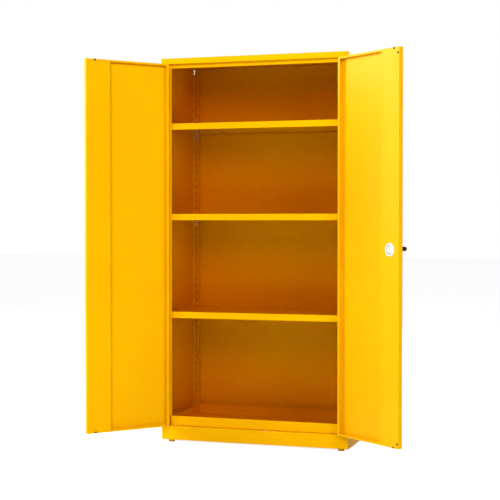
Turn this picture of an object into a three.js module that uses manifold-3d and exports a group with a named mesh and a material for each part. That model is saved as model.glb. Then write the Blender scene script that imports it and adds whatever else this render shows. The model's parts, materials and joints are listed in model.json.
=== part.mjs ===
/**
 * Two-door steel cupboard for flammable liquids: a folded sheet carcass with a sump tray,
 * three shelves on slotted uprights, and two pan doors on lift-off hinges. The right door
 * carries a T-handle that works an upper and a lower locking rod. Both doors stand open.
 *
 * Millimetres, +X to the right, +Y to the back, +Z up. Heights are written from the floor
 * and distances "behind the front" from the front face; the last group moves the origin
 * to the middle of the back face.
 */
import * as THREE from 'three';
import { mergeVertices } from 'three/addons/utils/BufferGeometryUtils.js';
import Module from 'manifold-3d';

const wasm = await Module();
wasm.setup();

// ---------------------------------------------------------------- driving dimensions
const WIDTH = 915;
const DEPTH = 457;
const HEIGHT = 1830;
const SHEET = 1.2; // steel thickness
const FOLD = 2.4; // outside radius of a fold
const GAP = 0.3; // between pieces that touch

const FOOT_HEIGHT = 13;
const FOOT_INSET = 40; // side of the cupboard to the middle of a foot
const FOOT_FRONT = 30; // front of the cupboard to the middle of a front foot
const FOOT_REAR = 28; // back of the cupboard to the middle of a rear foot
const PLINTH_DEPTH = 48;
const PLINTH_TOP = 78;
const SUMP_TOP = 124;
const HEADER_BOTTOM = 1785;
const CAP_BOTTOM = 1804;
const BACK_FLANGE = 15; // upper edge of the back, folded forward

const STILE = 28; // front face of each side panel
const STOP_DEPTH = 26; // how far the door stops lie behind the front
const STOP_REACH = 43.5; // side of the cupboard to the inner edge of a door stop

const UPRIGHT_FRONT = 28.4; // slotted face of a front upright, behind the front
const UPRIGHT_REAR = 434; // slotted face of a rear upright, behind the front
const UPRIGHT_REACH = 33.5; // side of the cupboard to the inner edge of an upright
const SLOT_WIDTH = 9;
const SLOT_HEIGHT = 14;
const SLOT_PITCH = 36;
const SLOT_COUNT = 44;
const LOWEST_SLOT = 188.5;
const SLOT_INSET = 21.5; // side of the cupboard to the middle of a slot

const SHELF_TOPS = { lower: 624, middle: 1092, upper: 1524 };
const SHELF_WIDTH = 904;
const SHELF_FRONT = 31.5;
const SHELF_REAR = 431;
const SHELF_LIP = 30;

const DOOR_DEPTH = 22.5;
const DOOR_BOTTOM = 80.5;
const DOOR_TOP = 1800;
const DOOR_SIDE_GAP = 3; // stile to door
const DOOR_MEETING_GAP = 1.5; // centre line to door
const SIDE_LIP = 14;
const END_LIP = 9;
const PIVOT_PROUD = 4; // hinge axis in front of the front face
const OPEN_ANGLE = { left: 131, right: 141.2 }; // from closed, in degrees

const LOCK_HEIGHT = 938;
const COVER_DROP = 4; // lock axis to the middle of the round cover, downwards
const LOCK_INSET = 59; // free edge of the door to the handle and the rods
const ROD_RADIUS = 4;

// ---------------------------------------------------------------- derived dimensions
const HALF = WIDTH / 2;
const DOOR_EDGE = STILE + DOOR_SIDE_GAP; // side of the cupboard to the door
const DOOR_WIDTH = HALF - DOOR_EDGE - DOOR_MEETING_GAP;
const PIVOT_INSET = STILE + DOOR_SIDE_GAP / 2; // side of the cupboard to the hinge axis
const LOCK_REACH = DOOR_WIDTH - LOCK_INSET; // hinge edge of the door to the lock
const LOCK_X = DOOR_MEETING_GAP + LOCK_INSET; // the same point from the centre line, closed
const ROD_DEPTH = 11; // rods behind the door's outer face
const STOP_ROOT = HALF - STILE - 1; // where the door stops are cut away, from the middle
const behind = (distance) => distance - DEPTH; // Y of a point behind the front

// ---------------------------------------------------------------- materials
const paint = { color: 0xf0b400, roughness: 0.38, metalness: 0.0 };
const zinc = { color: 0xb8bdb4, roughness: 0.35, metalness: 1.0 };
const steel = { color: 0xc4c6c8, roughness: 0.3, metalness: 1.0 };
const black = { color: 0x141414, roughness: 0.55, metalness: 0.0 };
const white = { color: 0xe9ebe6, roughness: 0.4, metalness: 0.0 };

// ---------------------------------------------------------------- solid helpers
function toSolid(geometry) {
  const bare = geometry.index ? geometry.toNonIndexed() : geometry.clone();
  bare.deleteAttribute('normal');
  bare.deleteAttribute('uv');
  const merged = mergeVertices(bare, 1e-4);
  return new wasm.Manifold(new wasm.Mesh({
    numProp: 3,
    vertProperties: new Float32Array(merged.attributes.position.array),
    triVerts: new Uint32Array(merged.index.array),
  }));
}

function toGeometry(solid) {
  const mesh = solid.getMesh();
  const geometry = new THREE.BufferGeometry();
  geometry.setAttribute('position', new THREE.BufferAttribute(mesh.vertProperties, 3));
  geometry.setIndex(new THREE.BufferAttribute(mesh.triVerts, 1));
  geometry.computeVertexNormals();
  return geometry;
}

function box([x0, x1], [y0, y1], [z0, z1]) {
  const geometry = new THREE.BoxGeometry(x1 - x0, y1 - y0, z1 - z0);
  geometry.translate((x0 + x1) / 2, (y0 + y1) / 2, (z0 + z1) / 2);
  return toSolid(geometry);
}

/** Extrudes a shape drawn in the two axes named by plane, between two places on the third. */
function prism(shape, plane, [from, to]) {
  const geometry = new THREE.ExtrudeGeometry(shape, {
    depth: to - from,
    bevelEnabled: false,
    curveSegments: 3,
  });
  geometry.translate(0, 0, from);
  const turn = new THREE.Matrix4();
  if (plane === 'yz') turn.set(0, 0, 1, 0, 1, 0, 0, 0, 0, 1, 0, 0, 0, 0, 0, 1);
  if (plane === 'zx') turn.set(0, 1, 0, 0, 0, 0, 1, 0, 1, 0, 0, 0, 0, 0, 0, 1);
  geometry.applyMatrix4(turn);
  return toSolid(geometry);
}

/** Solid of revolution: profile points are [radius, place along the axis]. */
function turned(profile, axis, centre, segments = 24) {
  const points = profile.map(([radius, along]) => new THREE.Vector2(radius, along));
  const geometry = new THREE.LatheGeometry(points, segments);
  if (axis === 'z') geometry.rotateX(Math.PI / 2);
  geometry.translate(...centre);
  return toSolid(geometry);
}

function rod(radius, axis, centre, [from, to], segments = 20) {
  return turned([[0, from], [radius, from], [radius, to], [0, to]], axis, centre, segments);
}

// ---------------------------------------------------------------- sheet-metal helpers
/** Offsets the centre line of a folded sheet by half its thickness and rounds the folds. */
function sheetFace(path, offset) {
  const points = path.map(([x, y]) => new THREE.Vector2(x, y));
  const directions = points.slice(1).map((p, i) => p.clone().sub(points[i]).normalize());
  const normals = directions.map((d) => new THREE.Vector2(-d.y, d.x));
  const last = points.length - 1;
  return points.map((point, i) => {
    if (i === 0) return [point.clone().addScaledVector(normals[0], offset)];
    if (i === last) return [point.clone().addScaledVector(normals[i - 1], offset)];
    const mitre = normals[i - 1].clone().add(normals[i]);
    const corner = point.clone().addScaledVector(mitre, (2 * offset) / mitre.lengthSq());
    const turnsLeft = directions[i - 1].cross(directions[i]) > 0;
    const round = turnsLeft === offset > 0 ? FOLD - SHEET : FOLD;
    return [
      corner.clone().addScaledVector(directions[i - 1], -round),
      corner,
      corner.clone().addScaledVector(directions[i], round),
    ];
  });
}

/** Outline of a sheet folded along a path of centre-line points. */
function foldedSheet(path) {
  const near = sheetFace(path, SHEET / 2);
  const far = sheetFace(path, -SHEET / 2).reverse().map((group) => group.reverse());
  const shape = new THREE.Shape();
  [...near, ...far].forEach((group, i) => {
    const [start, corner, end] = group;
    if (i === 0) shape.moveTo(start.x, start.y);
    else shape.lineTo(start.x, start.y);
    if (corner) shape.quadraticCurveTo(corner.x, corner.y, end.x, end.y);
  });
  return shape;
}

/** Rectangle with two or four of its corners rounded. */
function roundedRectangle(width, [low, high], radius, roundTop) {
  const half = width / 2;
  const shape = new THREE.Shape();
  shape.moveTo(-half + radius, low);
  shape.lineTo(half - radius, low);
  shape.quadraticCurveTo(half, low, half, low + radius);
  if (roundTop) {
    shape.lineTo(half, high - radius);
    shape.quadraticCurveTo(half, high, half - radius, high);
    shape.lineTo(-half + radius, high);
    shape.quadraticCurveTo(-half, high, -half, high - radius);
  } else {
    shape.lineTo(half, high);
    shape.lineTo(-half, high);
  }
  shape.lineTo(-half, low + radius);
  shape.quadraticCurveTo(-half, low, -half + radius, low);
  return shape;
}

/** Block on z = 0 with its bottom edges and its upright edges rounded. */
function softBlock(width, length, depth, radius) {
  const across = prism(roundedRectangle(width, [0, depth], radius, false), 'xy', [0, length]);
  const acrossGeometry = toGeometry(across).rotateX(Math.PI / 2).translate(0, length / 2, 0);
  const along = prism(roundedRectangle(length, [0, depth], radius, false), 'yz',
    [-width / 2, width / 2]);
  const plan = prism(roundedRectangle(width, [-length / 2, length / 2], radius, true), 'xy',
    [0, depth]);
  return toSolid(acrossGeometry).intersect(along).intersect(plan);
}

/** Open pan: a skin on z = 0 with walls up to depth and, if asked for, lips folded inwards. */
function pan(width, length, depth, lips = null) {
  const hollowTop = lips ? depth - SHEET : depth + 1;
  const hollow = softBlock(width - 2 * SHEET, length - 2 * SHEET, hollowTop - SHEET, FOLD - SHEET);
  const hollowGeometry = toGeometry(hollow).translate(0, 0, SHEET);
  let solid = softBlock(width, length, depth, FOLD).subtract(toSolid(hollowGeometry));
  if (lips) {
    const [sideLip, endLip] = lips;
    solid = solid.subtract(box([-width / 2 + sideLip, width / 2 - sideLip],
      [-length / 2 + endLip, length / 2 - endLip], [depth / 2, depth + 1]));
  }
  return solid;
}

// ---------------------------------------------------------------- scene helpers
function piece(name, solid, finish) {
  const mesh = new THREE.Mesh(toGeometry(solid), new THREE.MeshStandardMaterial(finish));
  mesh.name = name;
  return mesh;
}

function mirroredX(solid) {
  const geometry = toGeometry(solid).toNonIndexed();
  geometry.scale(-1, 1, 1);
  const position = geometry.attributes.position;
  const flipped = new Float32Array(position.array.length);
  for (let corner = 0; corner < position.count; corner += 1) {
    const source = corner - (corner % 3) + (2 - (corner % 3));
    flipped.set([position.getX(source), position.getY(source), position.getZ(source)],
      corner * 3);
  }
  geometry.setAttribute('position', new THREE.BufferAttribute(flipped, 3));
  return toSolid(geometry);
}

/** Makes a piece for the right-hand side and its mirror image for the left-hand side. */
function pair(name, solid, finish) {
  return [
    piece(`right_${name}`, solid, finish),
    piece(`left_${name}`, mirroredX(solid), finish),
  ];
}

// ---------------------------------------------------------------- carcass
function sidePanel() {
  const wall = HALF - SHEET / 2;
  const front = behind(SHEET / 2);
  const stop = behind(STOP_DEPTH + SHEET / 2);
  const jamb = HALF - STILE + SHEET / 2;
  const rear = -SHEET - GAP - SHEET / 2;
  const profile = foldedSheet([
    [HALF - 16, rear],
    [wall, rear],
    [wall, front],
    [jamb, front],
    [jamb, stop],
    [HALF - STOP_REACH, stop],
  ]);
  const sheet = prism(profile, 'xy', [FOOT_HEIGHT, CAP_BOTTOM - GAP]);
  const plinthRoom = box([0, HALF + 1], [behind(-1), behind(PLINTH_DEPTH + GAP)],
    [0, PLINTH_TOP + GAP]);
  const sumpRoom = box([0, STOP_ROOT], [behind(STOP_DEPTH - 2), behind(40)],
    [0, SUMP_TOP + GAP]);
  const headerRoom = box([0, STOP_ROOT], [behind(STOP_DEPTH - 2), behind(40)],
    [HEADER_BOTTOM - GAP, HEIGHT]);
  return sheet.subtract(plinthRoom).subtract(sumpRoom).subtract(headerRoom);
}

/** Flat back that reaches up between the cap's side walls, with a flange under the top sheet. */
function backPanel() {
  const reach = HALF - SHEET - FOLD;
  const top = HEIGHT - SHEET - GAP;
  return box([-HALF, HALF], [-SHEET, 0], [FOOT_HEIGHT, CAP_BOTTOM - GAP])
    .add(box([-reach, reach], [-SHEET, 0], [CAP_BOTTOM - 1, top]))
    .add(box([-reach, reach], [-BACK_FLANGE, 0], [top - SHEET, top]));
}

/** Cap with its rim turned down at the front and the sides. */
function topPanel() {
  const geometry = toGeometry(pan(WIDTH, DEPTH, HEIGHT - CAP_BOTTOM));
  geometry.rotateX(Math.PI).translate(0, -DEPTH / 2, HEIGHT);
  const reach = HALF - SHEET;
  return toSolid(geometry)
    .subtract(box([-reach, reach], [-FOLD, 1], [CAP_BOTTOM - 1, HEIGHT - SHEET]));
}

/** Hole in the frame that takes the end of a locking rod. */
function strikerHole(z) {
  return box([LOCK_X - 8, LOCK_X + 8], [behind(ROD_DEPTH - 5.5), behind(ROD_DEPTH + 5.5)],
    [z - 5, z + 5]);
}

function headerRail() {
  const soffit = CAP_BOTTOM - SHEET / 2;
  const face = behind(STOP_DEPTH + SHEET / 2);
  const profile = foldedSheet([
    [behind(SHEET + GAP), soffit],
    [face, soffit],
    [face, HEADER_BOTTOM + SHEET / 2],
    [face + 14, HEADER_BOTTOM + SHEET / 2],
  ]);
  const reach = STOP_ROOT - GAP;
  return prism(profile, 'yz', [-reach, reach]).subtract(strikerHole(soffit));
}

function footHole(x, y) {
  return rod(4.6, 'z', [x, y, FOOT_HEIGHT], [-5, 5], 12);
}

function plinthFront() {
  const height = PLINTH_TOP - FOOT_HEIGHT;
  const geometry = toGeometry(pan(WIDTH, height, PLINTH_DEPTH));
  geometry.rotateX(-Math.PI / 2).translate(0, behind(0), FOOT_HEIGHT + height / 2);
  return toSolid(geometry)
    .subtract(strikerHole(PLINTH_TOP))
    .subtract(footHole(HALF - FOOT_INSET, behind(FOOT_FRONT)))
    .subtract(footHole(-HALF + FOOT_INSET, behind(FOOT_FRONT)));
}

function plinthRear() {
  const height = PLINTH_TOP - FOOT_HEIGHT - SHEET - GAP;
  const clearance = 2 * (SHEET + GAP);
  const geometry = toGeometry(pan(WIDTH - clearance, height, PLINTH_DEPTH));
  geometry.rotateX(Math.PI / 2).translate(0, -clearance, FOOT_HEIGHT + height / 2);
  return toSolid(geometry)
    .subtract(footHole(HALF - FOOT_INSET, -FOOT_REAR))
    .subtract(footHole(-HALF + FOOT_INSET, -FOOT_REAR));
}

function basePanel() {
  const side = HALF - SHEET - GAP;
  return box([-side, side], [behind(PLINTH_DEPTH + GAP), -2 * (SHEET + GAP)],
    [PLINTH_TOP - SHEET, PLINTH_TOP]);
}

function sumpTray() {
  const width = 2 * (HALF - UPRIGHT_REACH - 4);
  const length = UPRIGHT_REAR - 2 - STOP_DEPTH;
  const geometry = toGeometry(pan(width, length, SUMP_TOP - PLINTH_TOP - GAP));
  geometry.translate(0, behind(STOP_DEPTH + length / 2), PLINTH_TOP + GAP);
  return toSolid(geometry);
}

function foot(x, y) {
  const centre = [x, y, 0];
  return turned([[0, 0], [13, 0], [14.5, 1.5], [14.5, 8], [12.5, FOOT_HEIGHT - GAP],
    [4, FOOT_HEIGHT - GAP], [4, FOOT_HEIGHT + 16], [0, FOOT_HEIGHT + 16]], 'z', centre);
}

function feet() {
  const right = HALF - FOOT_INSET;
  return [
    ...pair('front_foot', foot(right, behind(FOOT_FRONT)), paint),
    ...pair('rear_foot', foot(right, -FOOT_REAR), paint),
  ];
}

function carcass() {
  return [
    ...pair('side_panel', sidePanel(), paint),
    piece('back_panel', backPanel(), paint),
    piece('top_panel', topPanel(), paint),
    piece('header_rail', headerRail(), paint),
    piece('plinth_front', plinthFront(), paint),
    piece('plinth_rear', plinthRear(), paint),
    piece('base_panel', basePanel(), paint),
    piece('sump_tray', sumpTray(), paint),
    ...feet(),
  ];
}

// ---------------------------------------------------------------- uprights and shelves
/** Slotted face of an upright on the right-hand side, from y to y + SHEET. */
function slottedFace(y, height) {
  const middle = HALF - SLOT_INSET;
  let face = box([HALF - UPRIGHT_REACH, HALF - SHEET - GAP], [y, y + SHEET], height);
  for (let slot = 0; slot < SLOT_COUNT; slot += 1) {
    const z = LOWEST_SLOT + slot * SLOT_PITCH;
    face = face.subtract(box([middle - SLOT_WIDTH / 2, middle + SLOT_WIDTH / 2],
      [y - 1, y + SHEET + 1], [z - SLOT_HEIGHT / 2, z + SLOT_HEIGHT / 2]));
  }
  return face;
}

function uprights() {
  const rearHeight = [PLINTH_TOP + GAP, CAP_BOTTOM - SHEET - GAP];
  const rearFace = behind(UPRIGHT_REAR);
  const rearLegX = HALF - UPRIGHT_REACH;
  const rearLeg = box([rearLegX, rearLegX + SHEET], [rearFace, -2 * (SHEET + GAP)], rearHeight);
  const frontHeight = [PLINTH_TOP + GAP, HEADER_BOTTOM - GAP];
  const frontFace = behind(UPRIGHT_FRONT);
  const frontLegX = HALF - 2 * SHEET - GAP;
  const frontLeg = box([frontLegX, frontLegX + SHEET], [frontFace, frontFace + 18], frontHeight);
  return [
    ...pair('rear_upright', slottedFace(rearFace, rearHeight).add(rearLeg), paint),
    ...pair('front_upright', slottedFace(frontFace, frontHeight).add(frontLeg), paint),
  ];
}

function shelf(top) {
  const length = SHELF_REAR - SHELF_FRONT;
  const geometry = toGeometry(pan(SHELF_WIDTH, length, SHELF_LIP, [12, 12]));
  geometry.rotateX(Math.PI).translate(0, behind(SHELF_FRONT + length / 2), top);
  let solid = toSolid(geometry);
  const cornerRoom = [top - SHELF_LIP - 1, top - SHEET];
  const side = HALF - UPRIGHT_REACH - 6;
  for (const across of [[side, HALF], [-HALF, -side]]) {
    solid = solid
      .subtract(box(across, [behind(SHELF_FRONT - 1), behind(SHELF_FRONT + 38)], cornerRoom))
      .subtract(box(across, [behind(SHELF_REAR - 38), behind(SHELF_REAR + 1)], cornerRoom));
  }
  return solid;
}

const CLIP_THICKNESS = 1.5;
const CLIP_WIDTH = 16;
const CLIP_HEIGHT = 57.5;
const CLIP_LEDGE = 19;

/**
 * Shelf clip under the right-hand corner of a shelf, on the slotted face at faceY. A ledge at
 * its top reaches towards the shelf (1 or -1 along Y) and two hooks go through slots.
 */
function shelfClip(top, faceY, towards) {
  const x = HALF - SLOT_INSET;
  const across = [x - CLIP_WIDTH / 2, x + CLIP_WIDTH / 2];
  const ledgeTop = top - SHEET - GAP;
  const span = (a, b) => [faceY + towards * a, faceY + towards * b].sort((p, q) => p - q);
  const plate = box(across, span(GAP, GAP + CLIP_THICKNESS), [ledgeTop - CLIP_HEIGHT, ledgeTop]);
  const ledge = box(across, span(GAP, CLIP_LEDGE), [ledgeTop - CLIP_THICKNESS, ledgeTop]);
  const slotBelow = Math.floor((ledgeTop - LOWEST_SLOT) / SLOT_PITCH);
  let solid = plate.add(ledge);
  for (const slot of [slotBelow - 1, slotBelow]) {
    const sill = LOWEST_SLOT + slot * SLOT_PITCH - SLOT_HEIGHT / 2;
    const beyond = -SHEET - GAP - 1.5;
    const neck = box([x - 3, x + 3], span(beyond, 1), [sill + GAP, sill + 6]);
    const hook = box([x - 3, x + 3], span(beyond, -SHEET - GAP), [sill - 5, sill + 6]);
    solid = solid.add(neck).add(hook);
  }
  return solid;
}

function shelves() {
  return Object.entries(SHELF_TOPS).flatMap(([level, top]) => [
    piece(`${level}_shelf`, shelf(top), paint),
    ...pair(`rear_clip_${level}`, shelfClip(top, behind(UPRIGHT_REAR), -1), zinc),
    ...pair(`front_clip_${level}`, shelfClip(top, behind(UPRIGHT_FRONT) + SHEET, 1), zinc),
  ]);
}

// ---------------------------------------------------------------- hinges
const BARREL_RADIUS = 4.5;
const PIN_RADIUS = 2.4;
const BORE_RADIUS = 2.8;
const KNUCKLE = 30; // length of each half of a hinge
const LEAF_THICKNESS = 1.1;
const LEAF_DEPTH = 24; // from the hinge axis to the inner end of a leaf
const HINGE_HEIGHTS = { upper: 1640, middle: 940, lower: 240 };

/** Half of a right-hand hinge that is welded to the frame, with the pin. Axis at x = y = 0. */
function frameHinge() {
  const leafX = DOOR_SIDE_GAP / 2 - GAP;
  const barrel = rod(BARREL_RADIUS, 'z', [0, 0, 0], [-KNUCKLE, -GAP]);
  const pin = rod(PIN_RADIUS, 'z', [0, 0, 0], [-KNUCKLE / 2, KNUCKLE - 4]);
  const leaf = box([leafX - LEAF_THICKNESS, leafX], [0, LEAF_DEPTH], [-KNUCKLE, -GAP]);
  return barrel.add(leaf).add(pin);
}

/** Half of a right-hand hinge that is welded to the door. Axis at x = y = 0. */
function doorHinge() {
  const leafX = -DOOR_SIDE_GAP / 2 + GAP;
  const barrel = rod(BARREL_RADIUS, 'z', [0, 0, 0], [GAP, KNUCKLE]);
  const bore = rod(BORE_RADIUS, 'z', [0, 0, 0], [-1, KNUCKLE - 2.5]);
  const leaf = box([leafX, leafX + LEAF_THICKNESS], [0, LEAF_DEPTH], [GAP, KNUCKLE]);
  return barrel.add(leaf).subtract(bore);
}

function placed(name, solid, finish, position) {
  const mesh = piece(name, solid, finish);
  mesh.position.set(...position);
  return mesh;
}

function frameHinges() {
  const pivot = HALF - PIVOT_INSET;
  const y = behind(-PIVOT_PROUD);
  return Object.entries(HINGE_HEIGHTS).flatMap(([level, z]) => [
    placed(`right_frame_hinge_${level}`, frameHinge(), steel, [pivot, y, z]),
    placed(`left_frame_hinge_${level}`, mirroredX(frameHinge()), steel, [-pivot, y, z]),
  ]);
}

// ---------------------------------------------------------------- doors
// Each door is drawn closed with its hinge axis at x = y = 0. The right door reaches
// towards -X; the left one is its mirror image.
const EDGE_X = -DOOR_SIDE_GAP / 2; // hinge edge of the closed right door
const inDoor = (reach) => EDGE_X - reach; // X of a point this far from the hinge edge
const fromSkin = (depth) => PIVOT_PROUD + depth; // Y of a point behind the outer face

function doorPanel() {
  const height = DOOR_TOP - DOOR_BOTTOM;
  const geometry = toGeometry(pan(DOOR_WIDTH, height, DOOR_DEPTH, [SIDE_LIP, END_LIP]));
  geometry.rotateX(-Math.PI / 2);
  geometry.translate(inDoor(DOOR_WIDTH / 2), fromSkin(0), DOOR_BOTTOM + height / 2);
  return toSolid(geometry);
}

/** Stiffening channel that lies flush beside the lip of the free edge. */
const CHANNEL_WIDTH = 106;
const CHANNEL_FOOT = 12;

function doorChannel() {
  const face = fromSkin(DOOR_DEPTH - SHEET / 2);
  const root = fromSkin(SHEET + GAP + SHEET / 2);
  const free = inDoor(DOOR_WIDTH - SIDE_LIP - GAP) + SHEET / 2;
  const profile = foldedSheet([
    [free, root],
    [free, face],
    [free + CHANNEL_WIDTH, face],
    [free + CHANNEL_WIDTH, root],
    [free + CHANNEL_WIDTH + CHANNEL_FOOT, root],
  ]);
  return prism(profile, 'xy', [DOOR_BOTTOM + END_LIP + GAP, DOOR_TOP - END_LIP - GAP]);
}

/** Rubber buffer on the inner face of a door, at a distance from the free edge. */
function buffer(fromFreeEdge, z) {
  const seat = DOOR_DEPTH + GAP;
  return turned([[0, 0], [4.5, 0], [4.5, 2], [3.5, 3], [0, 3]], 'y',
    [inDoor(DOOR_WIDTH - fromFreeEdge), fromSkin(seat), z], 16);
}

function lockBore(radius, [from, to]) {
  return rod(radius, 'y', [inDoor(LOCK_REACH), 0, LOCK_HEIGHT], [fromSkin(from), fromSkin(to)]);
}

function rodBore(z) {
  return rod(ROD_RADIUS + 1, 'z', [inDoor(LOCK_REACH), fromSkin(ROD_DEPTH), z], [-4, 4]);
}

const HANDLE_REACH = 39; // outer face of the door to the outer face of the handle
const HANDLE_BAR = 84;
const HANDLE_HEIGHT = 20;
const HANDLE_THICKNESS = 13;
const CYLINDER_RADIUS = 7;
const SPINDLE_RADIUS = 4.5;
const CAM_DEPTH = 15; // cam behind the door's outer face

/** T-handle with its rose, neck and spindle; the bar lies level while the rods are drawn in. */
function handle() {
  const centre = [inDoor(LOCK_REACH), 0, LOCK_HEIGHT];
  const end = HANDLE_HEIGHT / 2;
  const half = HANDLE_BAR / 2 - end;
  const outline = new THREE.Shape();
  outline.absarc(half, 0, end, -Math.PI / 2, Math.PI / 2, false);
  outline.absarc(-half, 0, end, Math.PI / 2, (3 * Math.PI) / 2, false);
  const barGeometry = new THREE.ExtrudeGeometry(outline, {
    depth: HANDLE_THICKNESS - 4,
    bevelThickness: 2,
    bevelSize: 2,
    bevelOffset: -2,
    bevelSegments: 2,
    curveSegments: 8,
  });
  barGeometry.rotateX(Math.PI / 2);
  barGeometry.translate(centre[0], fromSkin(-HANDLE_REACH + HANDLE_THICKNESS - 2), centre[2]);
  const neck = turned([
    [0, fromSkin(-HANDLE_REACH + 3)],
    [11, fromSkin(-HANDLE_REACH + 3)],
    [9, fromSkin(-10)],
    [10, fromSkin(-6)],
    [19, fromSkin(-4)],
    [20, fromSkin(-GAP)],
    [0, fromSkin(-GAP)],
  ], 'y', centre);
  const boss = rod(11, 'y', centre, [fromSkin(-HANDLE_REACH - 2), fromSkin(-HANDLE_REACH + 5)]);
  const spindle = rod(SPINDLE_RADIUS, 'y', centre, [fromSkin(-2), fromSkin(CAM_DEPTH + 3)]);
  const bore = rod(CYLINDER_RADIUS + GAP, 'y', centre,
    [fromSkin(-HANDLE_REACH - 5), fromSkin(-HANDLE_REACH + 10)]);
  return toSolid(barGeometry).add(neck).add(boss).add(spindle).subtract(bore);
}

function lockCylinder() {
  const x = inDoor(LOCK_REACH);
  const plug = turned([
    [0, fromSkin(-HANDLE_REACH - 2.6)],
    [CYLINDER_RADIUS - 1, fromSkin(-HANDLE_REACH - 2.6)],
    [CYLINDER_RADIUS, fromSkin(-HANDLE_REACH - 1.8)],
    [CYLINDER_RADIUS, fromSkin(-HANDLE_REACH + 9.6)],
    [0, fromSkin(-HANDLE_REACH + 9.6)],
  ], 'y', [x, 0, LOCK_HEIGHT]);
  const keyway = box([x - 0.9, x + 0.9], [fromSkin(-HANDLE_REACH - 4), fromSkin(-HANDLE_REACH + 4)],
    [LOCK_HEIGHT - 4, LOCK_HEIGHT + 3.4]);
  return plug.subtract(keyway);
}

const CAM_REACH = 19;

function lockCam() {
  const x = inDoor(LOCK_REACH);
  const outline = new THREE.Shape();
  outline.absarc(LOCK_HEIGHT, x + CAM_REACH, 6, 0, Math.PI, false);
  outline.lineTo(LOCK_HEIGHT - 9, x);
  outline.absarc(LOCK_HEIGHT, x - CAM_REACH, 6, Math.PI, 2 * Math.PI, false);
  outline.lineTo(LOCK_HEIGHT + 9, x);
  const plate = prism(outline, 'zx', [fromSkin(CAM_DEPTH - 1), fromSkin(CAM_DEPTH + 1.5)]);
  return plate.subtract(lockBore(SPINDLE_RADIUS + GAP, [0, DOOR_DEPTH]));
}

/** Dished round cover over the inside of the lock. */
function lockCover() {
  const seat = DOOR_DEPTH + GAP;
  const profile = [
    [0, seat], [29, seat], [29, seat + 2.6], [27.5, seat + 3.8], [25.5, seat + 3.8],
    [23, seat + 1.8], [15, seat + 1.8], [12, seat + 3.4], [0, seat + 3.4],
  ];
  return turned(profile.map(([radius, depth]) => [radius, fromSkin(depth)]), 'y',
    [inDoor(LOCK_REACH), 0, LOCK_HEIGHT - COVER_DROP], 40);
}

const ROD_START = 14; // lock centre to the flattened inner end of a rod
const ROD_FLAT = 34;

function lockRod(direction) {
  const x = inDoor(LOCK_REACH);
  const tip = direction > 0 ? DOOR_TOP - 0.5 : DOOR_BOTTOM + 0.5;
  const flatEnd = LOCK_HEIGHT + direction * (ROD_START + ROD_FLAT);
  const start = LOCK_HEIGHT + direction * ROD_START;
  const sorted = (a, b) => [Math.min(a, b), Math.max(a, b)];
  const bar = rod(ROD_RADIUS, 'z', [x, fromSkin(ROD_DEPTH), 0],
    sorted(flatEnd - direction * 3, tip), 16);
  const flat = box([x - 6, x + 6], [fromSkin(ROD_DEPTH - 1.5), fromSkin(ROD_DEPTH + 1.5)],
    sorted(start, flatEnd));
  return bar.add(flat);
}

function rightDoorPieces() {
  const panel = doorPanel()
    .subtract(lockBore(SPINDLE_RADIUS + 2, [-3, 5]))
    .subtract(rodBore(DOOR_TOP))
    .subtract(rodBore(DOOR_BOTTOM));
  const channel = doorChannel().subtract(lockBore(9, [DOOR_DEPTH - 4, DOOR_DEPTH + 3]));
  return [
    piece('right_door_panel', panel, paint),
    piece('right_door_channel', channel, paint),
    piece('right_door_top_buffer', buffer(32, DOOR_TOP - END_LIP / 2), black),
    piece('right_door_bottom_buffer', buffer(32, DOOR_BOTTOM + END_LIP / 2), black),
    piece('meeting_edge_upper_buffer', buffer(SIDE_LIP / 2, DOOR_TOP - 26), black),
    piece('meeting_edge_lower_buffer', buffer(SIDE_LIP / 2, DOOR_BOTTOM + 22), black),
    piece('handle', handle(), black),
    piece('lock_cylinder', lockCylinder(), steel),
    piece('lock_cam', lockCam(), zinc),
    piece('lock_cover', lockCover(), white),
    piece('upper_lock_rod', lockRod(1), zinc),
    piece('lower_lock_rod', lockRod(-1), zinc),
  ];
}

function leftDoorPieces() {
  const topBuffer = buffer(43, DOOR_TOP - END_LIP / 2);
  const bottomBuffer = buffer(43, DOOR_BOTTOM + END_LIP / 2);
  return [
    piece('left_door_panel', mirroredX(doorPanel()), paint),
    piece('left_door_channel', mirroredX(doorChannel()), paint),
    piece('left_door_top_buffer', mirroredX(topBuffer), black),
    piece('left_door_bottom_buffer', mirroredX(bottomBuffer), black),
  ];
}

function doorHinges(side) {
  const solid = side === 'right' ? doorHinge() : mirroredX(doorHinge());
  return Object.entries(HINGE_HEIGHTS).map(([level, z]) =>
    placed(`${side}_door_hinge_${level}`, solid, steel, [0, 0, z]));
}

/** Swings a door's pieces about its hinge axis. */
function door(side, pieces) {
  const hand = side === 'right' ? 1 : -1;
  const group = new THREE.Group();
  group.add(...pieces, ...doorHinges(side));
  group.position.set(hand * (HALF - PIVOT_INSET), behind(-PIVOT_PROUD), 0);
  group.rotation.z = hand * THREE.MathUtils.degToRad(OPEN_ANGLE[side]);
  return group;
}

// ---------------------------------------------------------------- the whole cupboard
const cupboard = new THREE.Group();
cupboard.add(
  ...carcass(),
  ...uprights(),
  ...shelves(),
  ...frameHinges(),
  door('left', leftDoorPieces()),
  door('right', rightDoorPieces()),
);
cupboard.position.z = -HEIGHT / 2;

export default cupboard;
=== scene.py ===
"""Looks for the two-door steel cupboard: materials, small trim, floor, lights and camera."""

import json
import math

import bmesh
import bpy
from mathutils import Matrix, Vector

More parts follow.
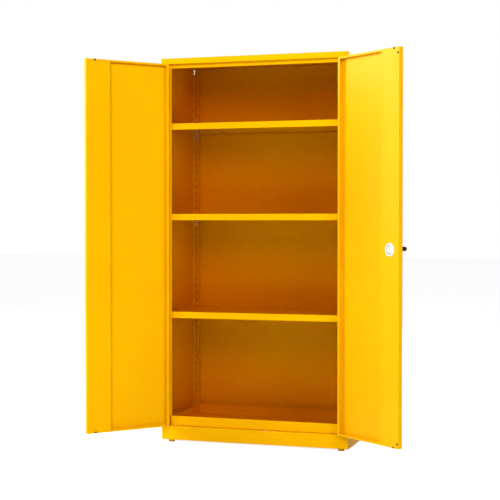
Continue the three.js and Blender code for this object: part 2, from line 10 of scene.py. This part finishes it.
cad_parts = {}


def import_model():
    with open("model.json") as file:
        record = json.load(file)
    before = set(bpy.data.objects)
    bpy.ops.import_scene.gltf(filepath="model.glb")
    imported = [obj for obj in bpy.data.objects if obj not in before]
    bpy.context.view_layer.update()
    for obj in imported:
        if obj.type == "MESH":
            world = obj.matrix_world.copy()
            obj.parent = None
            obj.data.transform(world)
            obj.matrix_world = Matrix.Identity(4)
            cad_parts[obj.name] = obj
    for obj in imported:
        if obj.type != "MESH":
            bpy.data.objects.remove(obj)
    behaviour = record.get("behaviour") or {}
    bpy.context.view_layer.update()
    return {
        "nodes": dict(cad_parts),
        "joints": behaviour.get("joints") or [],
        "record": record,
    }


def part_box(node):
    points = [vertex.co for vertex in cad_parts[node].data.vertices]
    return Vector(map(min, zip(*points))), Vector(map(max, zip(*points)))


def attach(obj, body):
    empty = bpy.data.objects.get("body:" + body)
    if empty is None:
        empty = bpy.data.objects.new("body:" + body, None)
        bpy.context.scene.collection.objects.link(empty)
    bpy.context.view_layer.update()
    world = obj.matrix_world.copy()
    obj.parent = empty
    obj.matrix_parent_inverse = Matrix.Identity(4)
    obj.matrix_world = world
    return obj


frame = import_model()

# ---------------------------------------------------------------- places in the frame (metres)
FLOOR_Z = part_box("right_front_foot")[0].z
FRONT_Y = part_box("plinth_front")[0].y
LOCK = next(j for j in frame["joints"] if j["name"] == "handle_turn")
LOCK_OUT = Vector(LOCK["axis"])  # points out of the right door
LOCK_POINT = Vector(LOCK["pos_m"])  # on the lock's axis

# ---------------------------------------------------------------- edges
SMOOTH_BELOW = 32  # degrees of bend that are still shaded smooth
ROUND_ABOVE = 50  # degrees of bend from which an edge is rounded
CAD_ROUNDING = 0.0003  # metres
TRIM_ROUNDING = 0.0002  # metres

# ---------------------------------------------------------------- small trim
MM_PER_METRE = 1000
DISH_DEPTH = 2.0  # mm from the lock cover's face to its dish
HUB_DEPTH = 0.4  # mm from the lock cover's face to its hub
SINK = 0.2  # mm that trim reaches into the piece that it lies on
SHADE_BAND_TURN = (30, 275)  # degrees of the dish that the sage band of painted shade covers, on the dish's shaded side
WASHER_DROP = 0.0003  # metres from a hinge's door half to the middle of its washer

# ---------------------------------------------------------------- studio (metres and degrees)
FLOOR_SIZE = 60
FLAG_MARGIN = 0.002  # each side of the back panel to the screen's edge
FLAG_SETBACK = 0.003  # front of the shelves to the screen
CAMERA_RIGHT = 1.733  # middle of the cupboard to the camera
CAMERA_AHEAD = 5.515  # front of the cupboard to the camera
CAMERA_HEIGHT = 1.055  # floor to the camera
CAMERA_DOWN = 1.31
CAMERA_LEFT = 17.57
CAMERA_LENS = 89.24  # mm
CAMERA_SENSOR = 36  # mm

# ---------------------------------------------------------------- colours (linear)
YELLOW = (0.88, 0.47, 0.001)
YELLOW_DEEP = (0.85, 0.43, 0.001)
ZINC = (0.80, 0.82, 0.74)
NICKEL = (0.66, 0.66, 0.64)
BLACK = (0.012, 0.012, 0.013)
RUBBER = (0.016, 0.016, 0.017)
WHITE = (0.70, 0.71, 0.73)
# painted shade: sage for the shade in the lock cover's dish and in the groove round its button
PAINTED_SHADE_SAGE = (0.33, 0.40, 0.33)
GREY_PAD = (0.22, 0.23, 0.22)
NYLON = (0.62, 0.60, 0.52)
FLOOR_GREY = (0.80, 0.80, 0.80)
FLOOR_LIGHT_GREY = (0.83, 0.83, 0.83)
FLAG_SHARES = (0.38, 0.18, 0.10)  # of the lamps' red, green and blue that get inside


# ---------------------------------------------------------------- material helpers
class Shader:
    """A node material built around one Principled BSDF, in object coordinates."""

    def __init__(self, name, **sockets):
        self.material = bpy.data.materials.new(name)
        self.material.use_nodes = True
        self.nodes = self.material.node_tree.nodes
        self.links = self.material.node_tree.links
        self.bsdf = self.nodes["Principled BSDF"]
        self.coordinates = self.nodes.new("ShaderNodeTexCoord").outputs["Object"]
        for socket, value in sockets.items():
            self.bsdf.inputs[socket.replace("_", " ")].default_value = value

    def noise(self, scale, detail=3.0, stretch=(1, 1, 1)):
        """Cloudy noise from 0 to 1."""
        mapping = self.nodes.new("ShaderNodeMapping")
        mapping.inputs["Scale"].default_value = stretch
        self.links.new(self.coordinates, mapping.inputs["Vector"])
        texture = self.nodes.new("ShaderNodeTexNoise")
        texture.inputs["Scale"].default_value = scale
        texture.inputs["Detail"].default_value = detail
        self.links.new(mapping.outputs["Vector"], texture.inputs["Vector"])
        return texture.outputs["Fac"]

    def cells(self, scale):
        """Flat cells, each with a random value."""
        texture = self.nodes.new("ShaderNodeTexVoronoi")
        texture.inputs["Scale"].default_value = scale
        self.links.new(self.coordinates, texture.inputs["Vector"])
        return texture.outputs["Color"]

    def remap(self, value, low, high, start=0.3, end=0.7):
        """Stretches start..end to low..high and holds what lies outside."""
        node = self.nodes.new("ShaderNodeMapRange")
        node.inputs["From Min"].default_value = start
        node.inputs["From Max"].default_value = end
        node.inputs["To Min"].default_value = low
        node.inputs["To Max"].default_value = high
        self.links.new(value, node.inputs["Value"])
        return node.outputs["Result"]

    def blend(self, factor, first, second):
        """Mixes two colours, each a tuple or the output of another node."""
        node = self.nodes.new("ShaderNodeMix")
        node.data_type = "RGBA"
        for socket, value in ((node.inputs[6], first), (node.inputs[7], second)):
            if isinstance(value, tuple):
                socket.default_value = (*value, 1)
            else:
                self.links.new(value, socket)
        self.links.new(factor, node.inputs[0])
        return node.outputs[2]

    def use(self, socket, value):
        self.links.new(value, self.bsdf.inputs[socket])

    def bump(self, *layers):
        """Each layer is (height, strength, depth in metres)."""
        previous = None
        for height, strength, depth in layers:
            node = self.nodes.new("ShaderNodeBump")
            node.inputs["Strength"].default_value = strength
            node.inputs["Distance"].default_value = depth
            self.links.new(height, node.inputs["Height"])
            if previous:
                self.links.new(previous, node.inputs["Normal"])
            previous = node.outputs["Normal"]
        self.links.new(previous, self.bsdf.inputs["Normal"])


def powder_coat(name, colour, deep):
    """Semi-gloss powder coat: orange peel, faint mottling of the panels, a few fine specks."""
    shader = Shader(name, Specular_IOR_Level=0.15, Specular_Tint=(1.0, 0.75, 0.0, 1))
    mottled = shader.blend(shader.remap(shader.noise(2.2, 4), 0, 1), colour, deep)
    speck = tuple(c * 0.85 for c in deep)
    specks = shader.remap(shader.noise(260, 2), 0, 1, start=0.70, end=0.78)
    shader.use("Base Color", shader.blend(specks, mottled, speck))
    shader.use("Roughness", shader.remap(shader.noise(14, 5), 0.30, 0.40))
    shader.bump(
        (shader.noise(3.5, 2), 0.25, 0.004),
        (shader.noise(420, 2), 0.10, 0.00025),
    )
    return shader.material


def plated_steel(name, colour, roughness):
    """Plated steel: crystal flakes, light drawing marks and a dull film in patches."""
    shader = Shader(name, Metallic=0.75)
    dull = tuple(c * 0.72 for c in colour)
    shades = shader.remap(shader.cells(650), 0, 0.5, start=0, end=1)
    flakes = shader.blend(shades, colour, dull)
    film = shader.remap(shader.noise(60, 4), 0, 0.7)
    shader.use("Base Color", shader.blend(film, flakes, dull))
    shader.use("Roughness", shader.remap(shader.noise(180, 4), roughness - 0.08, roughness + 0.1))
    shader.bump((shader.noise(900, 2, stretch=(1, 1, 0.15)), 0.15, 0.0002))
    return shader.material


def moulded_plastic(name, colour, roughness, grain):
    """Moulded plastic or rubber: fine spark-eroded grain and faint handling marks."""
    shader = Shader(name, Specular_IOR_Level=0.45)
    lifted = tuple(c * 1.25 + 0.004 for c in colour)
    shader.use("Base Color", shader.blend(shader.remap(shader.noise(90, 4), 0, 1), colour, lifted))
    shader.use("Roughness", shader.remap(shader.noise(40, 4), roughness - 0.06, roughness + 0.08))
    shader.bump((shader.noise(grain, 3), 0.2, 0.0001))
    return shader.material


FINISHES = {
    "yellow_paint": powder_coat("yellow_powder_coat", YELLOW, YELLOW_DEEP),
    "hinge_steel": powder_coat("painted_hinge", YELLOW_DEEP, YELLOW),
    "zinc_plate": plated_steel("zinc_plate", ZINC, roughness=0.38),
    "lock_steel": plated_steel("nickel_plate", NICKEL, roughness=0.25),
    "black_rubber": moulded_plastic("black_rubber", RUBBER, roughness=0.62, grain=1500),
    "black_plastic": moulded_plastic("black_plastic", BLACK, roughness=0.42, grain=2200),
    "white_plastic": moulded_plastic("white_plastic", WHITE, roughness=0.35, grain=1800),
}
# painted shade: sage plastic that draws the shade in the lock cover's dish and groove
PAINTED_SHADE_PLASTIC = moulded_plastic("sage_painted_shade", PAINTED_SHADE_SAGE, roughness=0.40, grain=1800)
PAD_RUBBER = moulded_plastic("grey_pad_rubber", GREY_PAD, roughness=0.70, grain=1200)
NYLON_WASHER = moulded_plastic("nylon", NYLON, roughness=0.45, grain=1600)


# ---------------------------------------------------------------- CAD nodes
def smoothing_group():
    """Geometry nodes that shade everything smooth except edges sharper than SMOOTH_BELOW."""
    group = bpy.data.node_groups.new("smooth_by_angle", "GeometryNodeTree")
    group.interface.new_socket("Geometry", in_out="INPUT", socket_type="NodeSocketGeometry")
    group.interface.new_socket("Geometry", in_out="OUTPUT", socket_type="NodeSocketGeometry")
    nodes, links = group.nodes, group.links
    source = nodes.new("NodeGroupInput")
    result = nodes.new("NodeGroupOutput")
    faces = nodes.new("GeometryNodeSetShadeSmooth")
    edges = nodes.new("GeometryNodeSetShadeSmooth")
    edges.domain = "EDGE"
    edges.inputs["Shade Smooth"].default_value = False
    angle = nodes.new("GeometryNodeInputMeshEdgeAngle")
    sharp = nodes.new("FunctionNodeCompare")
    sharp.operation = "GREATER_THAN"
    sharp.inputs["B"].default_value = math.radians(SMOOTH_BELOW)
    links.new(angle.outputs["Unsigned Angle"], sharp.inputs["A"])
    links.new(source.outputs["Geometry"], faces.inputs["Geometry"])
    links.new(faces.outputs["Geometry"], edges.inputs["Geometry"])
    links.new(sharp.outputs["Result"], edges.inputs["Selection"])
    links.new(edges.outputs["Geometry"], result.inputs["Geometry"])
    return group


SMOOTHING = smoothing_group()


def soften(obj, width):
    """Rounds the sharp edges of a piece, shades its bends smooth and keeps its sheets flat."""
    bevel = obj.modifiers.new("soft_edges", "BEVEL")
    bevel.width = width
    bevel.segments = 2
    bevel.limit_method = "ANGLE"
    bevel.angle_limit = math.radians(ROUND_ABOVE)
    bevel.use_clamp_overlap = True
    smooth = obj.modifiers.new("smooth", "NODES")
    smooth.node_group = SMOOTHING
    flat = obj.modifiers.new("flat_sheets", "WEIGHTED_NORMAL")
    flat.mode = "FACE_AREA"
    flat.weight = 100
    flat.keep_sharp = True


def finish_cad_nodes():
    """Gives each CAD node the finish of its slot in the record."""
    for part in frame["record"]["subparts"]:
        obj = frame["nodes"][part["node"]]
        slot = part["material_slot"]
        obj.data.materials.clear()
        obj.data.materials.append(FINISHES[slot])
        soften(obj, CAD_ROUNDING)


# ---------------------------------------------------------------- small trim
def to_object(mesh, name, material):
    """Puts a finished bmesh in the scene as an object and frees it."""
    data = bpy.data.meshes.new(name)
    mesh.to_mesh(data)
    mesh.free()
    data.materials.append(material)
    obj = bpy.data.objects.new(name, data)
    bpy.context.collection.objects.link(obj)
    return obj


def turned(profile, segments, turn):
    """A profile swept round Z; a sweep of less than a whole turn gets a cap at each end."""
    mesh = bmesh.new()
    start, end = turn
    whole = end - start == 360
    sections = []
    for step in range(segments if whole else segments + 1):
        angle = math.radians(start + (end - start) * step / segments)
        points = [(r * math.cos(angle), r * math.sin(angle), along) for r, along in profile]
        sections.append([mesh.verts.new(Vector(point) / MM_PER_METRE) for point in points])
    if whole:
        sections.append(sections[0])
    else:
        mesh.faces.new(sections[0])
        mesh.faces.new(sections[-1])
    for near, far in zip(sections, sections[1:]):
        for i in range(len(profile)):
            mesh.faces.new((near[i - 1], near[i], far[i], far[i - 1]))
    bmesh.ops.recalc_face_normals(mesh, faces=mesh.faces)
    return mesh


def lathe(name, profile, origin, axis, material, body, segments=64, turn=(0, 360)):
    """A turned piece: profile points are (radius, distance along the axis), in mm."""
    obj = to_object(turned(profile, segments, turn), name, material)
    tilt = Vector((0, 0, 1)).rotation_difference(axis).to_matrix().to_4x4()
    obj.data.transform(Matrix.Translation(origin) @ tilt)
    soften(obj, TRIM_ROUNDING)
    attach(obj, body)


def reach_along(node, axis):
    """How far a CAD node reaches from the lock along an axis, in mm."""
    points = frame["nodes"][node].data.vertices
    return max((point.co - LOCK_POINT).dot(axis) * MM_PER_METRE for point in points)


def lock_cover_trim():
    """Sage painted shade round most of the cover's dish, and a raised button with a painted-shade
    groove round it.
    """
    low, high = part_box("lock_cover")
    centre = Vector((LOCK_POINT.x, LOCK_POINT.y, (low.z + high.z) / 2))
    face = reach_along("lock_cover", -LOCK_OUT)
    dish = face - DISH_DEPTH
    # painted shade: a sage crescent on the dish's floor by its rim, where the rim shades it
    band = [(15.2, dish - SINK), (15.2, dish + 0.7), (15.8, dish + 1.1), (21.8, dish + 1.1),
            (22.4, dish + 0.7), (22.4, dish - SINK)]
    lathe("cover_shade_band", band, centre, -LOCK_OUT, PAINTED_SHADE_PLASTIC, "right_door", turn=SHADE_BAND_TURN)
    hub = face - HUB_DEPTH
    button = [(0.4, hub - SINK), (0.4, hub + 0.1), (2.2, hub + 0.35), (7.6, hub + 0.35),
              (8.4, hub + 0.05), (8.4, hub - SINK)]
    lathe("cover_button", button, centre, -LOCK_OUT, FINISHES["white_plastic"], "right_door")
    # painted shade: a thin sage ring on the hub stands for the shade in the groove round the
    # button
    groove = [(8.8, hub - SINK), (8.8, hub + 0.12), (9.6, hub + 0.12), (9.6, hub - SINK)]
    lathe("cover_groove_shade", groove, centre, -LOCK_OUT, PAINTED_SHADE_PLASTIC, "right_door")


def lock_cylinder_ring():
    """Bright ring round the key cylinder in the handle's boss."""
    outer = reach_along("handle", LOCK_OUT)
    ring = [(7.45, outer), (7.45, outer + 0.35), (8.2, outer + 0.35), (8.9, outer + 0.1),
            (8.9, outer)]
    lathe("cylinder_ring", ring, LOCK_POINT, LOCK_OUT, FINISHES["lock_steel"], "handle")


def foot_pads():
    """Grey rubber rim round the bottom of each foot."""
    pad = [(13.4, 0.05), (14.3, 0.05), (14.8, 0.5), (14.8, 1.9), (14.6, 2.2), (14.4, 2.2)]
    for node in ("right_front_foot", "left_front_foot", "right_rear_foot", "left_rear_foot"):
        low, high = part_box(node)
        origin = Vector(((low.x + high.x) / 2, (low.y + high.y) / 2, low.z))
        lathe(f"{node}_pad", pad, origin, Vector((0, 0, 1)), PAD_RUBBER, "cabinet")


def hinge_washers():
    """Nylon washers between the two halves of each hinge."""
    pins = {j["name"].split("_")[0]: j["pos_m"] for j in frame["joints"]
            if j["name"].endswith("door_hinge")}
    washer = [(2.9, -0.25), (4.2, -0.25), (4.2, 0.25), (2.9, 0.25)]
    for side, pin in pins.items():
        for level in ("upper", "middle", "lower"):
            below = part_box(f"{side}_door_hinge_{level}")[0].z
            origin = Vector((pin[0], pin[1], below - WASHER_DROP))
            lathe(f"{side}_washer_{level}", washer, origin, Vector((0, 0, 1)), NYLON_WASHER,
                  "cabinet", segments=32)


# ---------------------------------------------------------------- studio
def seen_by_camera(nodes, links, socket, cast, seen):
    """Drives a strength from cast, for light that falls on things, to seen, for the picture."""
    path = nodes.new("ShaderNodeLightPath")
    strength = nodes.new("ShaderNodeMapRange")
    strength.inputs["To Min"].default_value = cast
    strength.inputs["To Max"].default_value = seen
    links.new(path.outputs["Is Camera Ray"], strength.inputs["Value"])
    links.new(strength.outputs["Result"], socket)


def plane(name, size, material):
    """A flat rectangle of the studio, which isn't part of the object."""
    mesh = bmesh.new()
    bmesh.ops.create_grid(mesh, x_segments=1, y_segments=1, size=0.5)
    obj = to_object(mesh, name, material)
    obj.scale = (*size, 1)
    return obj


def floor():
    """Pale floor that the camera sees brighter than the light on it would make it."""
    shader = Shader("studio_floor", Roughness=0.85, Specular_IOR_Level=0.1)
    tone = shader.remap(shader.noise(0.6, 2), 0, 1)
    shader.use("Base Color", shader.blend(tone, FLOOR_GREY, FLOOR_LIGHT_GREY))
    shader.bsdf.inputs["Emission Color"].default_value = (1, 1, 1, 1)
    glow = shader.bsdf.inputs["Emission Strength"]
    seen_by_camera(shader.nodes, shader.links, glow, cast=0.0, seen=0.9)
    plane("studio_floor", (FLOOR_SIZE, FLOOR_SIZE), shader.material).location.z = FLOOR_Z


def flag(shares):
    """Screen across the opening, never seen, that lets shares of red, green and blue inside."""
    screen = bpy.data.materials.new("flag")
    screen.use_nodes = True
    nodes, links = screen.node_tree.nodes, screen.node_tree.links
    nodes.clear()
    clear = nodes.new("ShaderNodeBsdfTransparent")
    clear.inputs["Color"].default_value = (*shares, 1)
    links.new(clear.outputs[0], nodes.new("ShaderNodeOutputMaterial").inputs["Surface"])
    low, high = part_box("back_panel")
    obj = plane("studio_flag", (high.x - low.x - 2 * FLAG_MARGIN, high.z - low.z), screen)
    obj.location = (0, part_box("lower_shelf")[0].y + FLAG_SETBACK, (low.z + high.z) / 2)
    obj.rotation_euler = (math.radians(90), 0, 0)
    for ray in ("camera", "diffuse", "glossy", "transmission", "volume_scatter"):
        setattr(obj, f"visible_{ray}", False)


def world(seen, cast):
    """Plain white surroundings that the camera sees brighter than the object does."""
    studio = bpy.data.worlds.new("studio")
    bpy.context.scene.world = studio
    studio.use_nodes = True
    nodes, links = studio.node_tree.nodes, studio.node_tree.links
    background = nodes["Background"]
    background.inputs["Color"].default_value = (1, 1, 1, 1)
    seen_by_camera(nodes, links, background.inputs["Strength"], cast, seen)


def softbox(name, place, target, size, power):
    """White lamp of a given width and height (metres) and power (watts), aimed at a point."""
    light = bpy.data.lights.new(name, "AREA")
    light.shape = "RECTANGLE"
    light.size, light.size_y = size
    light.energy = power
    obj = bpy.data.objects.new(name, light)
    bpy.context.collection.objects.link(obj)
    obj.location = place
    aim = Vector(target) - Vector(place)
    obj.rotation_euler = aim.to_track_quat("-Z", "Y").to_euler()


def lights():
    """Key near the camera, fill from the right, a far left lamp and one for views from behind."""
    softbox("key_front", (0.4, -5.2, 2.2), (0, -0.5, 0), size=(2.0, 1.8), power=166)
    softbox("fill_right", (3.4, -3.6, 1.8), (-0.3, -0.5, 0), size=(1.6, 2.0), power=80)
    softbox("side_left", (-4.2, -1.4, 1.4), (0.3, -0.5, 0), size=(2.4, 2.6), power=262)
    softbox("back", (0.9, 4.6, 2.6), (0, 0, 0), size=(2.4, 2.4), power=210)


def camera():
    """Camera a little to the right of straight ahead, about a metre above the floor."""
    data = bpy.data.cameras.new("camera")
    data.lens = CAMERA_LENS
    data.sensor_width = CAMERA_SENSOR
    data.clip_end = 200
    obj = bpy.data.objects.new("camera", data)
    bpy.context.collection.objects.link(obj)
    obj.location = (CAMERA_RIGHT, FRONT_Y - CAMERA_AHEAD, FLOOR_Z + CAMERA_HEIGHT)
    obj.rotation_euler = (math.radians(90 - CAMERA_DOWN), 0, math.radians(CAMERA_LEFT))
    bpy.context.scene.camera = obj


finish_cad_nodes()
lock_cover_trim()
lock_cylinder_ring()
foot_pads()
hinge_washers()
floor()
flag(FLAG_SHARES)
world(seen=1.0, cast=0.08)
lights()
camera()
bpy.context.scene.view_settings.view_transform = "Standard"
